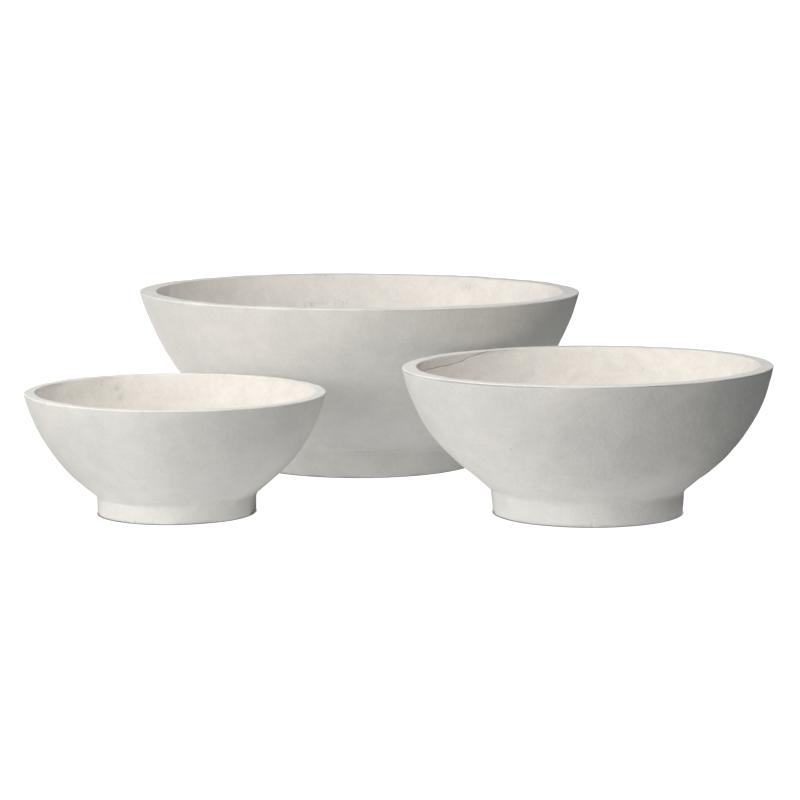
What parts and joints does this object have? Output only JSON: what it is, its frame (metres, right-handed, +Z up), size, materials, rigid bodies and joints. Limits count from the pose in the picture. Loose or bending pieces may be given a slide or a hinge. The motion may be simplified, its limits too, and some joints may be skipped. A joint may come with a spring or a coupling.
{
  "type": "footed bowl planter set",
  "caption": "Set of low, wide footed bowls cast in a pale concrete mix, graded in size, each with a thick flat rim, a short round foot and a rubber plug in its drain hole.",
  "frame": {"origin": "on the floor, at the middle of the plan of the whole set", "axes": "+Z up; +Y from the two smaller bowls in front towards the large bowl behind; +X towards the medium bowl's side"},
  "size_m": [1.0122, 1.0636, 0.265],
  "materials": {
    "cast_stone": "matt fibre-reinforced concrete with fine grain, faint mottling and small pits",
    "rubber": "matt moulded rubber"
  },
  "bodies": {
    "large": {"large_bowl": "cast_stone"},
    "medium": {"medium_bowl": "cast_stone"},
    "small": {"small_bowl": "cast_stone"},
    "large_plug": {"large_drain_plug": "rubber"},
    "medium_plug": {"medium_drain_plug": "rubber"},
    "small_plug": {"small_drain_plug": "rubber"}
  },
  "joints": [
    {"name": "medium_bowl_move", "type": "slide", "parent": "large", "child": "medium", "axis": [0.5475, -0.8368, 0], "range_m": [0, 0.5]},
    {"name": "small_bowl_move", "type": "slide", "parent": "large", "child": "small", "axis": [-0.4667, -0.8844, 0], "range_m": [0, 0.5]},
    {"name": "large_plug_pull", "type": "slide", "parent": "large", "child": "large_plug", "axis": [0, 0, 1], "range_m": [0, 0.3]},
    {"name": "medium_plug_pull", "type": "slide", "parent": "medium", "child": "medium_plug", "axis": [0, 0, 1], "range_m": [0, 0.24]},
    {"name": "small_plug_pull", "type": "slide", "parent": "small", "child": "small_plug", "axis": [0, 0, 1], "range_m": [0, 0.2]}
  ]
}
